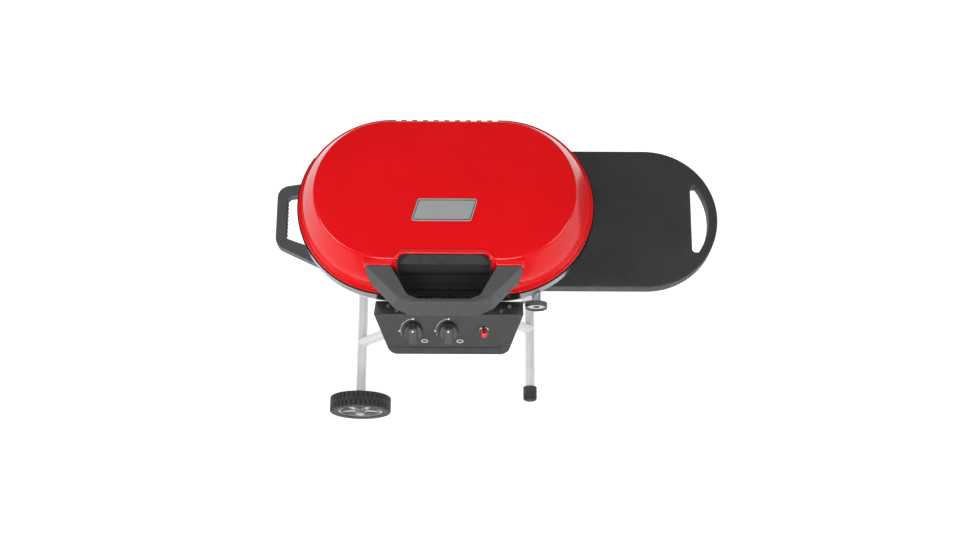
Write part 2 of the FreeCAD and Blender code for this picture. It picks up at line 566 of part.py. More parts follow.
# ---- legs ----
def make_legs():
    pivot = (PIVOT_X, PIVOT_Z)
    axle = (AXLE_X, AXLE_Z)
    cross = rod((CROSS_X, -150, CROSS_Z), (CROSS_X, 150, CROSS_Z), 5)
    pivot_bar = rod((PIVOT_X, -117, PIVOT_Z), (PIVOT_X, 117, PIVOT_Z), LEG_R)
    pivot_seat = rod((PIVOT_X, -117, PIVOT_Z), (PIVOT_X, 117, PIVOT_Z), LEG_R + 0.02)
    axle_bar = rod((AXLE_X, -236, AXLE_Z), (AXLE_X, 236, AXLE_Z), LEG_R)
    axle_seat = rod((AXLE_X, -236, AXLE_Z), (AXLE_X, 236, AXLE_Z), LEG_R + 0.02)
    for name, y in (("wheel_leg_front", -OUTER_LEG_Y), ("wheel_leg_rear", OUTER_LEG_Y)):
        leg = rod((pivot[0], y, pivot[1]), (axle[0], y, axle[1]), LEG_R)
        hollow = rod((pivot[0], y, pivot[1]), (axle[0], y, axle[1]), LEG_R - LEG_WALL)
        leg = leg.cut(hollow)
        leg = cut_all(leg, [pivot_seat, axle_seat, cross])
        add(name, max(leg.Solids, key=lambda solid: solid.Volume))
    add("leg_pivot_tube", pivot_bar.cut(rod((PIVOT_X, -130, PIVOT_Z), (PIVOT_X, 130, PIVOT_Z), 8 + FIT)))
    axle_hollow = rod((AXLE_X, -226, AXLE_Z), (AXLE_X, 226, AXLE_Z), LEG_R - LEG_WALL)
    axle_hollow = axle_hollow.fuse(rod((AXLE_X, -240, AXLE_Z), (AXLE_X, 240, AXLE_Z), AXLE_R))
    add("axle_tube", axle_bar.cut(axle_hollow))
    add("wheel_axle", rod((AXLE_X, -284, AXLE_Z), (AXLE_X, 284, AXLE_Z), AXLE_R))

    top_bar = rod((TOP_BAR_X, -80, PIVOT_Z), (TOP_BAR_X, 80, PIVOT_Z), LEG_R)
    foot_bar = rod((FOOT_X, -FLOOR_BAR_HALF, FOOT_Z), (FOOT_X, FLOOR_BAR_HALF, FOOT_Z), LEG_R)
    loose_cross = rod((CROSS_X, -150, CROSS_Z), (CROSS_X, 150, CROSS_Z), 5 + FIT)
    for name, y in (("foot_leg_front", -INNER_LEG_Y), ("foot_leg_rear", INNER_LEG_Y)):
        leg = tube((TOP_BAR_X, y, PIVOT_Z), (FOOT_X, y, FOOT_Z), LEG_R, LEG_WALL)
        leg = cut_all(leg, [top_bar, foot_bar, loose_cross])
        add(name, max(leg.Solids, key=lambda solid: solid.Volume))
    top_hollow = rod((TOP_BAR_X, -90, PIVOT_Z), (TOP_BAR_X, 90, PIVOT_Z), LEG_R - LEG_WALL)
    foot_hollow = rod((FOOT_X, -230, FOOT_Z), (FOOT_X, 230, FOOT_Z), LEG_R - LEG_WALL)
    add("leg_top_bar", top_bar.cut(top_hollow))
    add("foot_bar", foot_bar.cut(foot_hollow))

    add("scissor_rod", rod((CROSS_X, -116, CROSS_Z), (CROSS_X, 116, CROSS_Z), 5))
    spacers = []
    nuts = []
    for side in (-1, 1):
        inner_end = side * (INNER_LEG_Y + LEG_R + 0.6)
        outer_end = side * (OUTER_LEG_Y - LEG_R)
        spacer = rod((CROSS_X, inner_end, CROSS_Z), (CROSS_X, outer_end, CROSS_Z), 8)
        spacers.append(spacer.cut(cross))
        nut = rod((CROSS_X, side * (OUTER_LEG_Y + LEG_R), CROSS_Z), (CROSS_X, side * 118, CROSS_Z), 9)
        nuts.append(nut.cut(rod((CROSS_X, -116, CROSS_Z), (CROSS_X, 116, CROSS_Z), 5)))
    add("scissor_spacers", *spacers)
    add("scissor_nuts", *nuts)

    for name, side in (("foot_cap_front", -1), ("foot_cap_rear", 1)):
        cap_r = 17.5
        outer_end = side * (FLOOR_BAR_HALF + 8)
        cap = rod((FOOT_X, side * (FLOOR_BAR_HALF - 28), FOOT_Z), (FOOT_X, outer_end, FOOT_Z), cap_r)
        tip = [e for e in cap.Edges if abs(e.BoundBox.YMin - outer_end) < 0.1 and e.BoundBox.YLength < 0.1]
        cap = cap.makeFillet(7, tip)
        cap = cap.cut(foot_bar)
        cap = cap.cut(box(FOOT_X - 30, FOOT_X + 30, -300, 300, -10, 0))
        add(name, cap)


# ---- wheels ----
def make_wheel(side):
    """A plastic wheel: a tyre with two rows of tread blocks round a five-spoke hub."""
    y0 = WHEEL_Y - WHEEL_W / 2
    y1 = WHEEL_Y + WHEEL_W / 2
    at = Vector(AXLE_X, 0, AXLE_Z)
    rim_r = 57.0
    ring = Part.makeCylinder(WHEEL_R, WHEEL_W, at + Vector(0, y0, 0), AXIS_Y)
    ring = ring.makeFillet(3, ring.Edges)
    ring = ring.cut(Part.makeCylinder(rim_r, WHEEL_W + 2, at + Vector(0, y0 - 1, 0), AXIS_Y))
    grooves = []
    count = 40
    for row, (g0, g1) in enumerate(((y0 - 1, WHEEL_Y - 4), (WHEEL_Y + 4, y1 + 1))):
        for i in range(count):
            a = 360.0 / count * (i + 0.5 * row)
            groove = box(WHEEL_R - 3, WHEEL_R + 2, g0, g1, -1.4, 1.4)
            groove.rotate(Vector(0, 0, 0), AXIS_Y, a)
            groove.translate(at)
            grooves.append(groove)
    tyre = ring.cut(Part.makeCompound(grooves))

    hub_ring = Part.makeCylinder(rim_r, 30, at + Vector(0, WHEEL_Y - 13, 0), AXIS_Y)
    hub_ring = hub_ring.cut(Part.makeCylinder(rim_r - 6, 32, at + Vector(0, WHEEL_Y - 14, 0), AXIS_Y))
    boss = Part.makeCylinder(14, WHEEL_W - 1, at + Vector(0, y0 + 0.5, 0), AXIS_Y)
    web = Part.makeCylinder(rim_r - 5, 5, at + Vector(0, WHEEL_Y - 9, 0), AXIS_Y)
    spokes = []
    for i in range(5):
        spoke = plate([(10, WHEEL_Y, -8), (rim_r - 4, WHEEL_Y, -5), (rim_r - 4, WHEEL_Y, 5), (10, WHEEL_Y, 8)],
                      (0, 14, 0))
        opening = plate([(22, 0, -7), (48, 0, -20), (48, 0, 20), (22, 0, 7)], (0, 400, 0))
        spoke.rotate(Vector(0, 0, 0), AXIS_Y, 72 * i + 90)
        spoke.translate(at)
        opening.rotate(Vector(0, 0, 0), AXIS_Y, 72 * i + 126)
        opening.translate(at)
        spokes.append(spoke)
        web = web.cut(opening)
    hub = join([web, hub_ring, boss] + spokes)
    hub = hub.cut(Part.makeCylinder(AXLE_R + FIT, 400, at, AXIS_Y))
    cap = Part.makeCylinder(11, 6, at + Vector(0, y1 + 0.5, 0), AXIS_Y)
    cap = cap.makeFillet(2.5, [e for e in cap.Edges if e.BoundBox.YMin > y1 + 6])
    cap = cap.cut(rod((AXLE_X, -284, AXLE_Z), (AXLE_X, 284, AXLE_Z), AXLE_R))
    if side < 0:
        tyre, hub, cap = mirror_y(tyre), mirror_y(hub), mirror_y(cap)
    return tyre, hub, cap


def make_wheels():
    caps = []
    for name, side in (("front", -1), ("rear", 1)):
        tyre, hub, cap = make_wheel(side)
        add("tyre_" + name, tyre)
        add("hub_" + name, hub)
        caps.append(cap)
    add("axle_caps", *caps)


def write_all():
    os.makedirs("parts", exist_ok=True)
    whole = Part.makeCompound(list(pieces.values())).optimalBoundingBox(False)
    shift = Vector(-whole.Center.x, -whole.Center.y, -whole.ZMin)
    print("shift", round(shift.x, 4), round(shift.y, 4), round(shift.z, 4))
    print("size", round(whole.XLength, 1), round(whole.YLength, 1), round(whole.ZLength, 1))
    for name, shape in pieces.items():
        placed = shape.copy()
        placed.translate(shift)
        solids = placed.Solids
        valid = placed.isValid() and all(s.isClosed() for s in solids)
        if not valid or not solids:
            print("PROBLEM", name, len(solids), placed.isValid())
        placed.exportStep("parts/" + name + ".step")
    print("pieces", len(pieces))


make_lid()
shell_outer = make_cooking_box()
make_hinge()
make_console(shell_outer)
make_gas(shell_outer)
make_table()
make_chassis(shell_outer)
make_carry_handle(shell_outer)
make_legs()
make_wheels()
write_all()
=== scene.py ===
"""The looks of a stand-up gas grill with crossed folding legs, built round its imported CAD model.

Lengths are in metres, in the CAD model's frame: X to the side table, Y to the back, Z up, with the
origin on the floor. Places come from the frame's own boxes, so each piece sits where the CAD has it.
"""
import json
import math

import bmesh
import bpy
from mathutils import Matrix, Vector

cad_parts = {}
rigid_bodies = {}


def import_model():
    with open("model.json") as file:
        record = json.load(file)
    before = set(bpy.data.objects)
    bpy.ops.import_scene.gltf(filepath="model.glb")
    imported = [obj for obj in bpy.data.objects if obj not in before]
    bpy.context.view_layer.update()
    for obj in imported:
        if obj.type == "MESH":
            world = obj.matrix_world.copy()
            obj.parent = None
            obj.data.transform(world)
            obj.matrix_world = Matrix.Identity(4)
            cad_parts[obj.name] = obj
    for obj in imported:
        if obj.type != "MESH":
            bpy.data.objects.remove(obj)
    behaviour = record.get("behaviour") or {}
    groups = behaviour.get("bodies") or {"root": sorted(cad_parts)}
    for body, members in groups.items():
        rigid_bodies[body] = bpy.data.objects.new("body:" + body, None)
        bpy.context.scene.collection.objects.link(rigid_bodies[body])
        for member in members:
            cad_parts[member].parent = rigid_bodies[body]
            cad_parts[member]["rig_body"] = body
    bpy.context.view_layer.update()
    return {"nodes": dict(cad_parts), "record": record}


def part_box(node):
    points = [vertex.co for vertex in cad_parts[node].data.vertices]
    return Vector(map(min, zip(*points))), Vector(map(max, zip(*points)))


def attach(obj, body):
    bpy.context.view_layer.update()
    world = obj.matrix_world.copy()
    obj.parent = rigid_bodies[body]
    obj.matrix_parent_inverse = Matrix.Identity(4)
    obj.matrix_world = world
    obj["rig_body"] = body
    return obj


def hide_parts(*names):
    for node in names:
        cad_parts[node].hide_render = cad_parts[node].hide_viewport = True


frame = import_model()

MM = 0.001


# ---------------------------------------------------------------- materials
class Shader:
    """A small wrapper that builds a Principled material from noise-driven detail."""

    def __init__(self, name, roughness=0.5, metallic=0.0, specular=0.5, coat=0.0, coat_rough=0.05):
        self.material = bpy.data.materials.new(name)
        self.material.use_nodes = True
        self.nodes = self.material.node_tree.nodes
        self.links = self.material.node_tree.links
        self.bsdf = self.nodes["Principled BSDF"]
        self.set("Roughness", roughness)
        self.set("Metallic", metallic)
        self.set("Specular IOR Level", specular)
        self.set("Coat Weight", coat)
        self.set("Coat Roughness", coat_rough)
        self.place = self.nodes.new("ShaderNodeTexCoord")
        self.last_bump = None

    def set(self, socket, value):
        self.bsdf.inputs[socket].default_value = value

    def noise(self, scale, detail):
        """Noise in object space."""
        node = self.nodes.new("ShaderNodeTexNoise")
        node.inputs["Scale"].default_value = scale
        node.inputs["Detail"].default_value = detail
        self.links.new(self.place.outputs["Object"], node.inputs["Vector"])
        return node.outputs["Fac"]

    def ramp(self, fac, low, high, start=0.3, end=0.7):
        """Maps a factor to a range of grey or of colour."""
        node = self.nodes.new("ShaderNodeValToRGB")
        ends = node.color_ramp.elements
        ends[0].position, ends[1].position = start, end
        ends[0].color = (*low, 1) if isinstance(low, tuple) else (low, low, low, 1)
        ends[1].color = (*high, 1) if isinstance(high, tuple) else (high, high, high, 1)
        self.links.new(fac, node.inputs["Fac"])
        return node.outputs["Color"]

    def colour(self, fac, low, high, start=0.3, end=0.7):
        self.links.new(self.ramp(fac, low, high, start, end), self.bsdf.inputs["Base Color"])

    def rough(self, fac, low, high, start=0.3, end=0.7):
        self.links.new(self.ramp(fac, low, high, start, end), self.bsdf.inputs["Roughness"])

    def edges(self, colour, radius=0.0015, amount=0.5):
        """Lighter edges, from the shape's pointiness."""
        geometry = self.nodes.new("ShaderNodeNewGeometry")
        mask = self.ramp(geometry.outputs["Pointiness"], 0.0, amount, 0.52, 0.60)
        mix = self.nodes.new("ShaderNodeMix")
        mix.data_type = "RGBA"
        base = self.bsdf.inputs["Base Color"]
        self.links.new(mask, mix.inputs["Factor"])
        self.links.new(base.links[0].from_socket, mix.inputs["A"])
        mix.inputs["B"].default_value = (*colour, 1)
        self.links.new(mix.outputs["Result"], base)

    def bump(self, fac, depth, strength=1.0):
        """Adds relief; depth is in metres."""
        node = self.nodes.new("ShaderNodeBump")
        node.inputs["Strength"].default_value = strength
        node.inputs["Distance"].default_value = depth
        self.links.new(fac, node.inputs["Height"])
        if self.last_bump:
            self.links.new(self.last_bump, node.inputs["Normal"])
        self.last_bump = node.outputs["Normal"]
        self.links.new(self.last_bump, self.bsdf.inputs["Normal"])


def red_enamel():
    shader = Shader("red_enamel", roughness=0.3, specular=0.15, coat=0.55, coat_rough=0.12)
    shader.colour(shader.noise(5, 3), (0.66, 0.0012, 0.0035), (0.72, 0.002, 0.005))
    shader.rough(shader.noise(45, 5), 0.28, 0.36)
    shader.bump(shader.noise(260, 2), 0.00002, 0.25)
    return shader.material


def grained_plastic(name, dark, light, rough=(0.45, 0.6), grain=900, depth=0.00012):
    """Moulded plastic with a spark-eroded grain and slightly paler edges."""
    shader = Shader(name, specular=0.45)
    shader.colour(shader.noise(9, 4), dark, light)
    shader.rough(shader.noise(60, 4), *rough)
    shader.bump(shader.noise(grain, 3), depth, 0.6)
    shader.edges(tuple(min(1.0, c * 1.9 + 0.01) for c in light), amount=0.4)
    return shader.material


def painted(name, dark, light, rough=(0.25, 0.4), coat=0.3, metallic=0.0, depth=0.00004):
    """Sprayed metal with a faint orange-peel skin."""
    shader = Shader(name, metallic=metallic, coat=coat, coat_rough=0.12)
    shader.colour(shader.noise(7, 4), dark, light)
    shader.rough(shader.noise(80, 4), *rough)
    shader.bump(shader.noise(500, 2), depth, 0.4)
    return shader.material


def bare_metal(name, dark, light, rough):
    """Metal with a fine grain, stains and a rubbed finish."""
    shader = Shader(name, metallic=1.0)
    shader.colour(shader.noise(14, 5), dark, light)
    shader.rough(shader.noise(90, 5), *rough)
    shader.bump(shader.noise(360, 2), 0.00003, 0.5)
    return shader.material


def cast_iron():
    shader = Shader("porcelain_iron", roughness=0.5, coat=0.25, coat_rough=0.3)
    shader.colour(shader.noise(30, 5), (0.012, 0.012, 0.013), (0.035, 0.033, 0.031))
    shader.rough(shader.noise(120, 4), 0.4, 0.65)
    shader.bump(shader.noise(700, 4), 0.00015, 0.6)
    return shader.material


def rubber(name, dark, light):
    shader = Shader(name, specular=0.35)
    shader.colour(shader.noise(25, 5), dark, light)
    shader.rough(shader.noise(90, 4), 0.55, 0.75)
    shader.bump(shader.noise(800, 3), 0.00010, 0.5)
    shader.edges((0.09, 0.09, 0.092), amount=0.35)
    return shader.material


materials = {
    "lid_red": red_enamel(),
    "matte_black_plastic": grained_plastic("handle_plastic", (0.050, 0.051, 0.053), (0.064, 0.065, 0.068)),
    "recess_black": grained_plastic("recess_plastic", (0.006, 0.006, 0.0065), (0.009, 0.009, 0.010),
                                    (0.52, 0.66)),
    "badge_metal": painted("badge_metal", (0.36, 0.365, 0.37), (0.43, 0.435, 0.44), (0.3, 0.42), 0.2, 0.3),
    "table_plastic": grained_plastic("table_plastic", (0.020, 0.020, 0.021), (0.029, 0.029, 0.031),
                                     (0.5, 0.66), 520, 0.0003),
    "black_enamel": painted("black_enamel", (0.003, 0.003, 0.0032), (0.006, 0.006, 0.0064), (0.2, 0.34), 0.4),
    "panel_black": painted("panel_black", (0.009, 0.009, 0.0095), (0.013, 0.013, 0.0135), (0.38, 0.5), 0.12),
    "shell_silver": painted("shell_silver", (0.60, 0.61, 0.62), (0.68, 0.69, 0.70), (0.3, 0.42), 0.3, 0.35),
    "leg_silver": painted("leg_silver", (0.66, 0.67, 0.68), (0.74, 0.75, 0.76), (0.3, 0.42), 0.35, 0.25),
    "zinc_steel": bare_metal("zinc_steel", (0.42, 0.42, 0.43), (0.58, 0.58, 0.59), (0.3, 0.5)),
    "burner_steel": bare_metal("burner_steel", (0.35, 0.33, 0.30), (0.52, 0.51, 0.49), (0.3, 0.5)),
    "grate_iron": cast_iron(),
    "brass": bare_metal("brass", (0.55, 0.38, 0.15), (0.68, 0.50, 0.24), (0.25, 0.4)),
    "gas_aluminium": bare_metal("gas_aluminium", (0.55, 0.56, 0.57), (0.68, 0.69, 0.70), (0.3, 0.45)),
    "ceramic_white": painted("ceramic_white", (0.70, 0.70, 0.68), (0.80, 0.80, 0.78), (0.25, 0.4), 0.2),
    "bezel_chrome": bare_metal("bezel_chrome", (0.30, 0.30, 0.32), (0.40, 0.40, 0.42), (0.06, 0.14)),
    "button_red": painted("button_red", (0.60, 0.004, 0.006), (0.70, 0.008, 0.010), (0.2, 0.3), 0.5),
    "foot_rubber": rubber("foot_rubber", (0.014, 0.014, 0.015), (0.024, 0.024, 0.025)),
    "tyre_black": rubber("tyre_plastic", (0.020, 0.020, 0.021), (0.032, 0.032, 0.034)),
    "hub_silver": painted("hub_silver", (0.30, 0.31, 0.32), (0.40, 0.41, 0.42), (0.3, 0.4), 0.3, 0.5),
}
slot_of = {part["node"]: part["material_slot"] for part in frame["record"]["subparts"]}
for node, item in frame["nodes"].items():
    item.data.materials.clear()
    item.data.materials.append(materials[slot_of[node]])


# ---------------------------------------------------------------- camera, floor and light
CAMERA_PITCH = math.radians(71.47)
CAMERA_YAW = math.radians(-0.18)
CAMERA_ROLL = math.radians(0.45)
CAMERA_FROM_BODY = Vector((0.0943, -1.2372, 4.0331))
FOCAL_SHARE = 1600 / 978
SENSOR = 36.0


def add_camera(body_centre):
    """A high front camera; body_centre is the floor point under the cooking box."""
    data = bpy.data.cameras.new("camera")
    data.sensor_width = SENSOR
    data.lens = FOCAL_SHARE * SENSOR
    data.clip_end = 50
    turn = Matrix.Rotation(CAMERA_YAW, 3, "Z")
    right = turn @ Vector((1, 0, 0))
    up = turn @ Vector((0, math.sin(CAMERA_PITCH), math.cos(CAMERA_PITCH)))
    forward = turn @ Vector((0, math.cos(CAMERA_PITCH), -math.sin(CAMERA_PITCH)))
    rolled_right = right * math.cos(CAMERA_ROLL) + up * math.sin(CAMERA_ROLL)
    rolled_up = up * math.cos(CAMERA_ROLL) - right * math.sin(CAMERA_ROLL)
    basis = Matrix((rolled_right, rolled_up, -forward)).transposed().to_4x4()
    camera = bpy.data.objects.new("camera", data)
    camera.matrix_world = Matrix.Translation(body_centre + turn @ CAMERA_FROM_BODY) @ basis
    bpy.context.scene.collection.objects.link(camera)
    bpy.context.scene.camera = camera


def add_floor():
    mesh = bpy.data.meshes.new("floor")
    half = 6.0
    corners = [(-half, -half, 0), (half, -half, 0), (half, half, 0), (-half, half, 0)]
    mesh.from_pydata(corners, [], [(0, 1, 2, 3)])
    floor = bpy.data.objects.new("floor", mesh)
    bpy.context.scene.collection.objects.link(floor)
    shader = Shader("floor_paint", roughness=0.8, specular=0.1)
    shader.colour(shader.noise(2, 3), (0.40, 0.40, 0.40), (0.42, 0.42, 0.42))
    shader.set("Emission Color", (1, 1, 1, 1))
    shader.set("Emission Strength", 0.88)
    mesh.materials.append(shader.material)


def add_area(name, place, target, size, power):
    data = bpy.data.lights.new(name, "AREA")
    data.shape = "RECTANGLE"
    data.size, data.size_y = size
    data.energy = power
    lamp = bpy.data.objects.new(name, data)
    lamp.location = place
    lamp.rotation_euler = (Vector(target) - Vector(place)).to_track_quat("-Z", "Y").to_euler()
    bpy.context.scene.collection.objects.link(lamp)


def add_light():
    world = bpy.data.worlds.new("studio")
    world.use_nodes = True
    world.node_tree.nodes["Background"].inputs["Color"].default_value = (1, 1, 1, 1)
    world.node_tree.nodes["Background"].inputs["Strength"].default_value = 0.16
    bpy.context.scene.world = world
    add_area("left_box", (-2.0, -0.7, 2.3), (-0.1, 0, 0.85), (1.3, 2.0), 40)
    add_area("right_box", (1.9, -0.6, 2.4), (-0.1, 0, 0.85), (1.3, 2.0), 34)
    add_area("front_box", (-0.1, -2.9, 2.5), (-0.1, 0, 0.8), (2.2, 0.9), 56)
    add_area("back_box", (-0.1, 2.6, 2.0), (-0.1, 0, 0.8), (2.4, 0.6), 20)


# ---------------------------------------------------------------- mesh tools
shell_low, shell_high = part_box("base_shell")
body_centre = (shell_low + shell_high) / 2
body_centre.z = 0
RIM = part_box("lid_shell")[0].z / MM
END_R = (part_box("lid_shell")[1].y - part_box("lid_shell")[0].y) / 2 / MM
HALF_RUN = (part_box("lid_shell")[1].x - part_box("lid_shell")[0].x) / 2 / MM - END_R


def at(x, y, z):
    """A point given in millimetres from the middle of the cooking box, above the floor."""
    return body_centre + Vector((x, y, z)) * MM


def add_piece(name, vertices, faces, slot, body, replaces=()):
    mesh = bpy.data.meshes.new(name)
    mesh.from_pydata([tuple(v) for v in vertices], [], faces)
    return place_mesh(name, mesh, slot, body, replaces)


def place_mesh(name, mesh, slot, body, replaces=()):
    piece = bpy.data.objects.new(name, mesh)
    bpy.context.scene.collection.objects.link(piece)
    mesh.materials.clear()
    mesh.materials.append(materials[slot])
    clean(mesh)
    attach(piece, body)
    if replaces:
        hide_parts(*replaces)
    return piece


def clean(mesh, flat=0.0):
    """Merges doubled points, makes normals point out and, with an angle, clears flat seams."""
    bm = bmesh.new()
    bm.from_mesh(mesh)
    bmesh.ops.remove_doubles(bm, verts=bm.verts, dist=0.000002)
    if flat:
        bmesh.ops.dissolve_limit(bm, angle_limit=flat, verts=bm.verts, edges=bm.edges)
    bmesh.ops.recalc_face_normals(bm, faces=bm.faces)
    bm.to_mesh(mesh)
    bm.free()


def apply_modifiers(piece):
    """Turns the piece's modifiers into real geometry."""
    bpy.context.view_layer.update()
    shape = piece.evaluated_get(bpy.context.evaluated_depsgraph_get())
    result = bpy.data.meshes.new_from_object(shape)
    piece.modifiers.clear()
    piece.data = result


def smooth(piece, angle=40):
    piece.data.polygons.foreach_set("use_smooth", [True] * len(piece.data.polygons))
    piece.data.set_sharp_from_angle(angle=math.radians(angle))
    return piece


def bevel(piece, width, segments=3, angle=30):
    """Rounds every edge sharper than the angle; the width is in millimetres."""
    modifier = piece.modifiers.new("bevel", "BEVEL")
    modifier.width = width * MM
    modifier.segments = segments
    modifier.limit_method = "ANGLE"
    modifier.angle_limit = math.radians(angle)
    modifier.miter_outer = "MITER_ARC"
    apply_modifiers(piece)
    return flatten_shading(smooth(piece))


def flatten_shading(piece):
    """Keeps large flat faces flat in shading, so that only the rounded edges curve the light."""
    modifier = piece.modifiers.new("normals", "WEIGHTED_NORMAL")
    modifier.keep_sharp = True
    modifier.weight = 80
    apply_modifiers(piece)
    return piece


def subtract(piece, cutter):
    """Cuts another object's volume out of the piece, and removes that object."""
    modifier = piece.modifiers.new("cut", "BOOLEAN")
    modifier.operation = "DIFFERENCE"
    modifier.solver = "EXACT"
    modifier.object = cutter
    apply_modifiers(piece)
    bpy.data.objects.remove(cutter)
    return piece


def loose_object(name, vertices, faces):
    mesh = bpy.data.meshes.new(name)
    mesh.from_pydata([tuple(v) for v in vertices], [], faces)
    clean(mesh)
    thing = bpy.data.objects.new(name, mesh)
    bpy.context.scene.collection.objects.link(thing)
    return thing


def soften(node, width, segments=2, angle=32):
    """Stands a copy with rounded edges in for a CAD node."""
    source = frame["nodes"][node]
    mesh = source.data.copy()
    mesh.name = node + "_soft"
    piece = place_mesh(node + "_soft", mesh, slot_of[node], source["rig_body"], (node,))
    clean(mesh, math.radians(0.6))
    return bevel(piece, width, segments, angle)


def rounded_path(points, radii, closed=False, steps=6):
    """A polyline whose corners are replaced by arcs of the given radii."""
    count = len(points)
    result = []
    for i, point in enumerate(points):
        corner = Vector(point)
        radius = radii[i] if hasattr(radii, "__len__") else radii
        if (not closed and i in (0, count - 1)) or not radius:
            result.append(corner)
            continue
        before = Vector(points[i - 1]) - corner
        after = Vector(points[(i + 1) % count]) - corner
        half_angle = before.angle(after) / 2
        reach = min(radius / math.tan(half_angle), before.length * 0.49, after.length * 0.49)
        start = corner + before.normalized() * reach
        end = corner + after.normalized() * reach
        for k in range(steps + 1):
            t = k / steps
            result.append(start * (1 - t) ** 2 + corner * 2 * t * (1 - t) + end * t ** 2)
    return result


def resample(path, count):
    """The same line with evenly spaced points."""
    lengths = [0.0]
    for a, b in zip(path, path[1:]):
        lengths.append(lengths[-1] + (b - a).length)
    result = []
    k = 0
    for i in range(count):
        goal = lengths[-1] * i / (count - 1)
        while k < len(lengths) - 2 and lengths[k + 1] < goal:
            k += 1
        span = max(lengths[k + 1] - lengths[k], 1e-12)
        result.append(path[k].lerp(path[k + 1], (goal - lengths[k]) / span))
    return result


def ring_faces(rings, size, closed_rings=True, caps=False):
    """Quads between rings of equal size, with optional end caps."""
    faces = []
    last = size if closed_rings else size - 1
    for r in range(rings - 1):
        for i in range(last):
            j = (i + 1) % size
            faces.append((r * size + i, r * size + j, (r + 1) * size + j, (r + 1) * size + i))
    if caps:
        faces.append(tuple(range(size))[::-1])
        faces.append(tuple((rings - 1) * size + i for i in range(size)))
    return faces


def prism(outline, low, high):
    """Vertices and faces of a plan outline between two heights, in millimetres."""
    rings = [at(p[0], p[1], z) for z in (low, high) for p in outline]
    return rings, ring_faces(2, len(outline), caps=True)


add_camera(body_centre)
add_floor()
add_light()
bpy.context.scene.view_settings.view_transform = "Standard"

# ---------------------------------------------------------------- lid
CROWN = 96.0
PLATEAU = 89.0
PLATEAU_INSET = 41.0
FRONT_EXTRA = 8.0        # the front slope is a little wider than the others
BACK_LEAN = 5.0          # the back wall leans in by this much more than the others
LID_STEPS = [(0, 0, 0), (0, 3.4, 1.4), (7.4, 4.6, 1.6), (8.8, 15, 2.0), (12.4, 18.2, 2.0), (13.6, 35, 3.0),
             (18, 44, 12.0), (PLATEAU_INSET, PLATEAU, 7.0), (60, PLATEAU + 1.5, 0)]
ARC_STEPS = 56
RUN_STEPS = 20


def lid_profile():
    """Inset from the flange and height above the rim, from the flange's underside to the crown."""
    corners = [(inset, height) for inset, height, _ in LID_STEPS]
    path = [(p.x, p.y) for p in rounded_path(corners, [radius for _, _, radius in LID_STEPS], steps=7)][:-1]
    start = path[-1]
    for i in range(1, 15):
        inset = start[0] + (END_R - 2 - start[0]) * i / 14
        share = (END_R - inset) / (END_R - start[0])
        path.append((inset, start[1] + (CROWN - start[1]) * (1 - share ** 2)))
    return path


def plan_directions():
    """Anchor and outward direction of each point round the lid, anticlockwise from the front right."""
    result = []
    for side in (1, -1):
        for i in range(ARC_STEPS + 1):
            angle = -math.pi / 2 + math.pi * i / ARC_STEPS + (0 if side > 0 else math.pi)
            result.append((side * HALF_RUN, math.cos(angle), math.sin(angle)))
        for i in range(1, RUN_STEPS):
            x = side * HALF_RUN * (1 - 2 * i / RUN_STEPS)
            result.append((x, 0.0, float(side)))
    return result


def true_inset(inset, sine):
    """The front slope is stretched so that the flat top starts further back, and the back wall leans in."""
    extra = FRONT_EXTRA * max(0.0, -sine) ** 3
    share = min(max((inset - 14) / (PLATEAU_INSET - 14), 0.0), 1.0)
    fade = min(1.0, (END_R - inset) / (END_R - PLATEAU_INSET))
    lean = BACK_LEAN * max(0.0, sine) ** 2
    rise = min(max((inset - 11.5) / 2, 0.0), 1.0)
    settle = min(max((PLATEAU_INSET - inset) / (PLATEAU_INSET - 18), 0.0), 1.0)
    return inset + extra * share * fade + lean * rise * settle


def lid_point(anchor, cosine, sine, inset, height):
    reach = END_R - true_inset(inset, sine)
    return at(anchor + reach * cosine, reach * sine, RIM + height)


def lid_height(x, y):
    """Height above the rim of the lid's outside at a plan point, from its profile."""
    beyond = max(abs(x) - HALF_RUN, 0.0)
    distance = math.hypot(beyond, y)
    sine = y / max(distance, 1e-6)
    best = lid_profile()[0][1]
    for (i0, h0), (i1, h1) in zip(lid_profile(), lid_profile()[1:]):
        r0 = END_R - true_inset(i0, sine)
        r1 = END_R - true_inset(i1, sine)
        if r1 <= distance <= r0 and r0 > r1:
            best = h0 + (h1 - h0) * (r0 - distance) / (r0 - r1)
    return best


def inner_profile(outer, thickness):
    """The same line moved inwards by the sheet's thickness, from the skirt up."""
    inner = []
    for k in range(1, len(outer) - 1):
        if outer[k][0] < 8.0:
            continue
        tangent = Vector(outer[k + 1]) - Vector(outer[k - 1])
        if tangent.length < 1e-6:
            continue
        tangent.normalize()
        inner.append((outer[k][0] + tangent.y * thickness, outer[k][1] - tangent.x * thickness))
    return inner


def recess_outline(grow, corner):
    half = RECESS_HALF + grow
    back = RECESS_BACK + grow
    points = [(half, -240), (half, back), (-half, back), (-half, -240)]
    return rounded_path(points, [0, corner, corner, 0], steps=10)


RECESS_SKIN = 2.5
RECESS_HALF = (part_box("lid_recess_insert")[1].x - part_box("lid_recess_insert")[0].x) / 2 / MM - RECESS_SKIN
RECESS_BACK = -141.0
RECESS_CORNER = 28.0
NOTCHES = 10
NOTCH_PITCH = 23.5


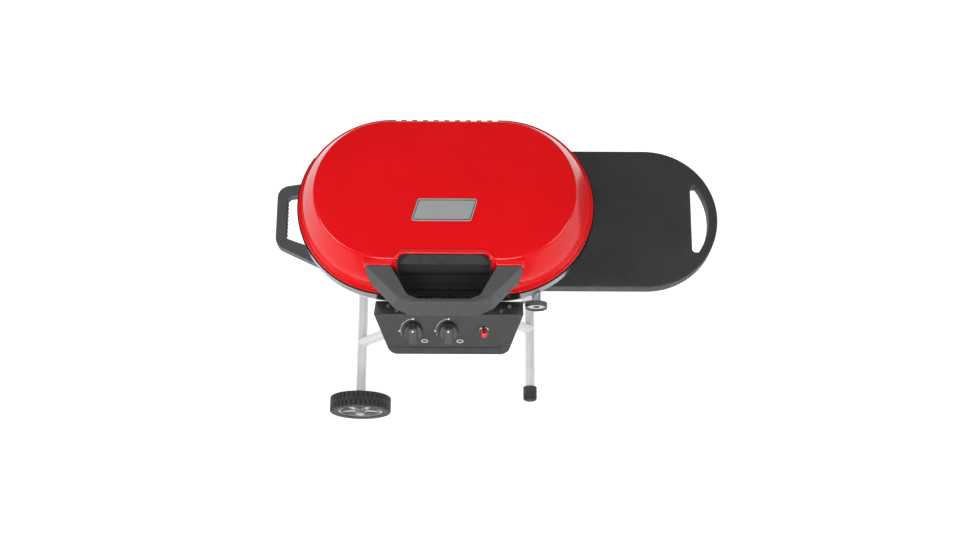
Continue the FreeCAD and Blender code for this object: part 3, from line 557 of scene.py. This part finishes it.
def notch_cutters():
    """Round-bottomed slots in the back flange."""
    vertices, faces = [], []
    for i in range(NOTCHES):
        x = (i - (NOTCHES - 1) / 2) * NOTCH_PITCH
        outline = [(x + 6.2, END_R + 3)]
        for k in range(13):
            angle = -math.pi * k / 12
            outline.append((x + 6.2 * math.cos(angle), END_R - 1.0 + 5.6 * math.sin(angle)))
        outline.append((x - 6.2, END_R + 3))
        ring, quads = prism(outline, RIM - 3, RIM + 4.9)
        faces += [tuple(index + len(vertices) for index in face) for face in quads]
        vertices += ring
    return loose_object("notches", vertices, faces)


def make_lid():
    outer = lid_profile()
    inner = inner_profile(outer, 1.6)
    plan = plan_directions()
    size = len(plan)
    vertices = []
    profile = outer + list(reversed(inner)) + [(inner[0][0], 0.0)]
    for inset, height in profile:
        vertices += [lid_point(x, c, s, inset, height) for x, c, s in plan]
    rows = len(profile)
    faces = []
    for r in range(rows):
        if r == len(outer) - 1:
            continue
        nxt = (r + 1) % rows
        for i in range(size):
            j = (i + 1) % size
            faces.append((r * size + i, r * size + j, nxt * size + j, nxt * size + i))
    top = (len(outer) - 1) * size
    faces.append(tuple(top + i for i in range(size)))
    faces.append(tuple(top + size + i for i in range(size))[::-1])
    lid = add_piece("lid_cover", vertices, faces, "lid_red", "lid", ("lid_shell",))
    subtract(lid, notch_cutters())
    pocket, sides = prism(recess_outline(RECESS_SKIN, RECESS_CORNER + RECESS_SKIN), RIM - 6, RIM + 130)
    subtract(lid, loose_object("recess", pocket, sides))
    smooth(lid, 32)


def lid_core():
    """The space inside the lid's sheet, used to trim what is added on the outside."""
    inner = inner_profile(lid_profile(), 0.9)
    inner = [(inner[0][0], -20.0)] + inner
    plan = plan_directions()
    vertices = []
    for inset, height in inner:
        vertices += [lid_point(x, c, s, inset, height) for x, c, s in plan]
    return loose_object("core", vertices, ring_faces(len(inner), len(plan), caps=True))


def make_recess_bead():
    """The raised red rim round the finger recess."""
    radius = 4.6
    grow = radius - 0.6
    half = RECESS_HALF + grow
    back = RECESS_BACK + grow
    corners = [(-half, -166, 0), (-half, back, 0), (half, back, 0), (half, -166, 0)]
    path = resample(rounded_path(corners, RECESS_CORNER + grow, steps=12), 90)
    vertices = []
    sides = 14
    for i, point in enumerate(path):
        ahead = path[min(i + 1, len(path) - 1)] - path[max(i - 1, 0)]
        ahead.normalize()
        across = Vector((ahead.y, -ahead.x, 0))
        height = RIM + lid_height(point.x, point.y) - 0.3
        for k in range(sides):
            angle = 2 * math.pi * k / sides
            offset = across * math.cos(angle) * radius
            rise = math.sin(angle) * radius * 0.85
            vertices.append(at(point.x + offset.x, point.y + offset.y, height + rise))
    bead = add_piece("lid_recess_rim", vertices, ring_faces(len(path), sides, caps=True), "lid_red", "lid")
    subtract(bead, lid_core())
    smooth(bead, 50)


HANDLE_END_Y = (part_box("lid_handle")[1].y - body_centre.y) / MM


def make_handle_pads():
    """Raised blocks on the lid's slope that carry the handle's arms."""
    half = 30.0
    for name, side in (("left", -1), ("right", 1)):
        middle = side * 138
        profile = [(-128, 60), (-128, 85), (-154, 85), (HANDLE_END_Y, 80.5), (HANDLE_END_Y, 27),
                   (-186, 20), (-150, 20)]
        vertices = [at(middle + dx, y, RIM + z) for dx in (-half, half) for y, z in profile]
        faces = ring_faces(2, len(profile), caps=True)
        pad = add_piece("lid_handle_pad_" + name, vertices, faces, "lid_red", "lid")
        bevel(pad, 2.4, 4)
        subtract(pad, lid_core())
        smooth(pad, 35)


def make_handle():
    """A U-shaped grip: level in front, with arms that rise to the lid and an outer face that flares out."""
    end = HANDLE_END_Y
    rails = [
        [(112, end, 27.5), (94, -193, 27.5), (78, -222, 27.5), (54, -231, 27.5)],
        [(110.6, end, 79.5), (91.9, -194, 71.5), (76, -221, 62.8), (53, -229, 62)],
        [(160.6, end, 79.5), (160, -167, 78.6), (95, -228, 62.6), (66, -238, 62)],
        [(171, end, 27), (168.5, -173, 27), (103, -243, 27), (72, -256.8, 27)],
    ]
    radii = ([0, 24, 22, 26], [0, 24, 22, 26], [0, 4, 30, 30], [0, 5, 30, 30])
    lines = []
    for half, sizes in zip(rails, radii):
        loop = [(x, y, RIM + z) for x, y, z in half] + [(-x, y, RIM + z) for x, y, z in reversed(half)]
        lines.append(rounded_path(loop, sizes + sizes[::-1], steps=9))
    vertices = []
    for k in range(len(lines[0])):
        vertices += [at(*line[k]) for line in lines]
    faces = ring_faces(len(lines[0]), len(lines), caps=True)
    handle = add_piece("lid_grip", vertices, faces, "matte_black_plastic",
                       "lid", ("lid_handle",))
    bevel(handle, 2.6, 4, 40)


def slanted_outline(shrink, corner):
    """The badge's slanted outline, moved inwards by shrink."""
    low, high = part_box("lid_badge")
    x0, x1 = (low.x - body_centre.x) / MM, (high.x - body_centre.x) / MM
    y0, y1 = (low.y - body_centre.y) / MM, (high.y - body_centre.y) / MM
    slant = 14.0
    points = [(x0 + shrink * 1.1, y0 + shrink), (x1 - slant - shrink * 0.8, y0 + shrink),
              (x1 - shrink * 1.1, y1 - shrink), (x0 + slant + shrink * 0.8, y1 - shrink)]
    if corner:
        return closed_round(points, corner)
    return rounded_path([*points, points[0]], [0, 0, 0, 0, 0], steps=6)[:-1]


def closed_round(points, corner):
    return rounded_path(points, corner, closed=True, steps=7)


def make_badge():
    """A blank plate: a raised rim, a dark line and a plain field with no mark on it."""
    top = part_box("lid_badge")[1].z / MM
    base = top - 2.4
    rim, rim_faces = prism(slanted_outline(0, 7), base, top - 0.3)
    plate = add_piece("badge_plate", rim, rim_faces, "badge_metal", "lid", ("lid_badge",))
    cut, cut_faces = prism(slanted_outline(2.6, 5), top - 0.9, top + 1)
    subtract(plate, loose_object("badge_cut", cut, cut_faces))
    bevel(plate, 0.35, 3)
    line, line_faces = prism(slanted_outline(2.6, 5), top - 1.0, top - 0.75)
    add_piece("badge_line", line, line_faces, "recess_black", "lid")
    field, field_faces = prism(slanted_outline(4.2, 4), top - 1.0, top - 0.45)
    bevel(add_piece("badge_field", field, field_faces, "badge_metal", "lid"), 0.2, 2)


# ---------------------------------------------------------------- console
face_low, face_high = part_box("console_face")
CONSOLE_MIDDLE = ((face_low.x + face_high.x) / 2 - body_centre.x) / MM
PANEL_RISE = 65.0
PANEL_REACH = 70.0
PANEL_TOP_Y = -230.0
PANEL_TOP_Z = RIM - 45
PANEL_T = 2.5
KNOB_DROP = 39.0
KNOB_X = (-76.0, 0.0)
IGNITER_X = 76.0
panel_tilt = math.atan2(PANEL_RISE, PANEL_REACH)


def on_panel(x, up, out):
    """A point on the sloping panel: across, up its slope and out from its back face."""
    return at(CONSOLE_MIDDLE + x, PANEL_TOP_Y + up * math.cos(panel_tilt) - out * math.sin(panel_tilt),
              PANEL_TOP_Z + up * math.sin(panel_tilt) + out * math.cos(panel_tilt))


def printed(name, outline, hole, body="body", low=PANEL_T, thick=0.25, slot="ceramic_white"):
    """A thin raised mark on the panel; a hole of the same point count makes it a ring."""
    if hole:
        rings = [outline, outline, hole, hole]
        heights = [low, low + thick, low + thick, low]
        vertices = [on_panel(x, up, height) for ring, height in zip(rings, heights) for x, up in ring]
        size = len(outline)
        faces = [(r * size + i, r * size + (i + 1) % size,
                  (r + 1) % 4 * size + (i + 1) % size, (r + 1) % 4 * size + i)
                 for r in range(4) for i in range(size)]
    else:
        vertices = [on_panel(x, up, height) for height in (low, low + thick) for x, up in outline]
        faces = ring_faces(2, len(outline), caps=True)
    return smooth(add_piece(name, vertices, faces, slot, body), 30)


def oval(x, up, wide, tall, count=32):
    return [(x + wide * math.cos(2 * math.pi * i / count), up + tall * math.sin(2 * math.pi * i / count))
            for i in range(count)]


def dial_arc(x, up, radius, start, stop, wide):
    """A thin arc that narrows towards its end; angles in degrees from the right, anticlockwise."""
    steps = 30
    outer, inner = [], []
    for i in range(steps + 1):
        angle = math.radians(start + (stop - start) * i / steps)
        half = wide * (1 - 0.55 * i / steps) / 2
        outer.append((x + (radius + half) * math.cos(angle), up + (radius + half) * math.sin(angle)))
        inner.append((x + (radius - half) * math.cos(angle), up + (radius - half) * math.sin(angle)))
    return outer + inner[::-1]


DIAL_R = 27.5            # radius of the printed arc round each knob
DIAL_START = 92          # the arc's ends in degrees, anticlockwise from the right
DIAL_STOP = 205


def make_console_marks():
    for side, x in zip(("left", "right"), KNOB_X):
        printed("dial_arc_" + side, dial_arc(x, -KNOB_DROP, DIAL_R, DIAL_START, DIAL_STOP, 1.0), None)
        printed("dial_off_dot_" + side, oval(x, -KNOB_DROP + DIAL_R, 2.1, 2.1), None, thick=0.3)
        printed("dial_high_dot_" + side, oval(x - 29.5, -KNOB_DROP - 1, 1.9, 1.9), None, thick=0.3)
        outer = oval(x + 24, -KNOB_DROP - 25, 7.5, 4)
        inner = oval(x + 24, -KNOB_DROP - 25, 5.9, 2.5)
        printed("burner_oval_" + side, outer, inner)
        printed("knob_dot_" + side, oval(x, -KNOB_DROP + 11, 2.1, 2.1), None, "knob_" + side, KNOB_TOP, 0.3)
    printed("igniter_mark", oval(IGNITER_X - 27, -KNOB_DROP + 6, 1.3, 1.3), None, slot="button_red")


KNOB_TOP = 30.5

make_lid()
make_recess_bead()
make_handle_pads()
make_handle()
make_badge()
make_console_marks()
for node, width in (("console_housing", 1.6), ("console_face", 0.9), ("carry_handle", 3.0),
                    ("lid_recess_insert", 0.9), ("knob_left", 0.5), ("knob_right", 0.5),
                    ("side_table", 0.8), ("console_clips", 0.4)):
    soften(node, width)
